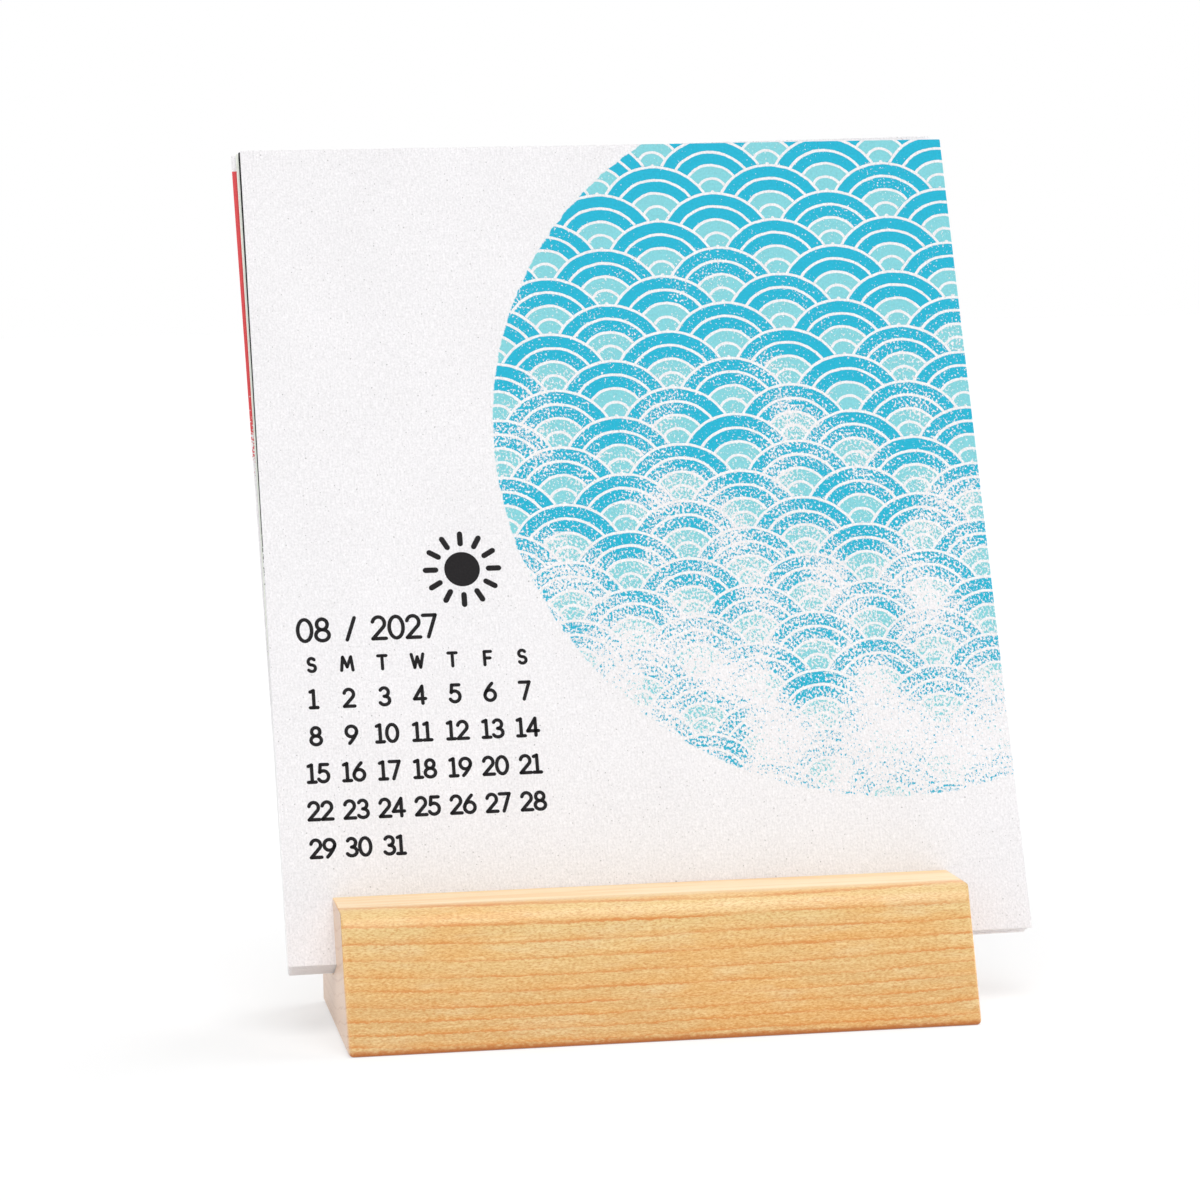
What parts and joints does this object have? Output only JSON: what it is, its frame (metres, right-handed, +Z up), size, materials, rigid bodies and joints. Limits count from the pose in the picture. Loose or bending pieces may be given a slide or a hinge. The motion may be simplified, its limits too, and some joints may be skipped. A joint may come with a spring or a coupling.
{
  "type": "desk calendar",
  "caption": "Desk calendar of loose month cards that lean back in a slanted slot cut through a hardwood block with a sloped front face.",
  "frame": {"origin": "centre of the block's underside, on the surface that it stands on", "axes": "+Z up; +X to the right along the block, seen from the front; -Y is the front, which the printed sides of the cards face"},
  "size_m": [0.1302, 0.081, 0.1483],
  "materials": {
    "maple": "satin oiled maple with straight growth rings along the block",
    "card_paper": "matt, toothy uncoated card"
  },
  "bodies": {
    "stand": {"stand": "maple"},
    "august": {"august_card": "card_paper"},
    "september": {"september_card": "card_paper"},
    "october": {"october_card": "card_paper"},
    "november": {"november_card": "card_paper"},
    "december": {"december_card": "card_paper"},
    "january": {"january_card": "card_paper"},
    "february": {"february_card": "card_paper"},
    "march": {"march_card": "card_paper"},
    "april": {"april_card": "card_paper"},
    "may": {"may_card": "card_paper"},
    "june": {"june_card": "card_paper"},
    "july": {"july_card": "card_paper"}
  },
  "joints": [
    {"name": "august_lift", "type": "slide", "parent": "stand", "child": "august", "axis": [0, 0.3746, 0.9272], "range_m": [0, 0.16]},
    {"name": "september_lift", "type": "slide", "parent": "stand", "child": "september", "axis": [0, 0.3746, 0.9272], "range_m": [0, 0.16]},
    {"name": "october_lift", "type": "slide", "parent": "stand", "child": "october", "axis": [0, 0.3746, 0.9272], "range_m": [0, 0.16]},
    {"name": "november_lift", "type": "slide", "parent": "stand", "child": "november", "axis": [0, 0.3746, 0.9272], "range_m": [0, 0.16]},
    {"name": "december_lift", "type": "slide", "parent": "stand", "child": "december", "axis": [0, 0.3746, 0.9272], "range_m": [0, 0.16]},
    {"name": "january_lift", "type": "slide", "parent": "stand", "child": "january", "axis": [0, 0.3746, 0.9272], "range_m": [0, 0.16]},
    {"name": "february_lift", "type": "slide", "parent": "stand", "child": "february", "axis": [0, 0.3746, 0.9272], "range_m": [0, 0.16]},
    {"name": "march_lift", "type": "slide", "parent": "stand", "child": "march", "axis": [0, 0.3746, 0.9272], "range_m": [0, 0.16]},
    {"name": "april_lift", "type": "slide", "parent": "stand", "child": "april", "axis": [0, 0.3746, 0.9272], "range_m": [0, 0.16]},
    {"name": "may_lift", "type": "slide", "parent": "stand", "child": "may", "axis": [0, 0.3746, 0.9272], "range_m": [0, 0.16]},
    {"name": "june_lift", "type": "slide", "parent": "stand", "child": "june", "axis": [0, 0.3746, 0.9272], "range_m": [0, 0.16]},
    {"name": "july_lift", "type": "slide", "parent": "stand", "child": "july", "axis": [0, 0.3746, 0.9272], "range_m": [0, 0.16]}
  ]
}
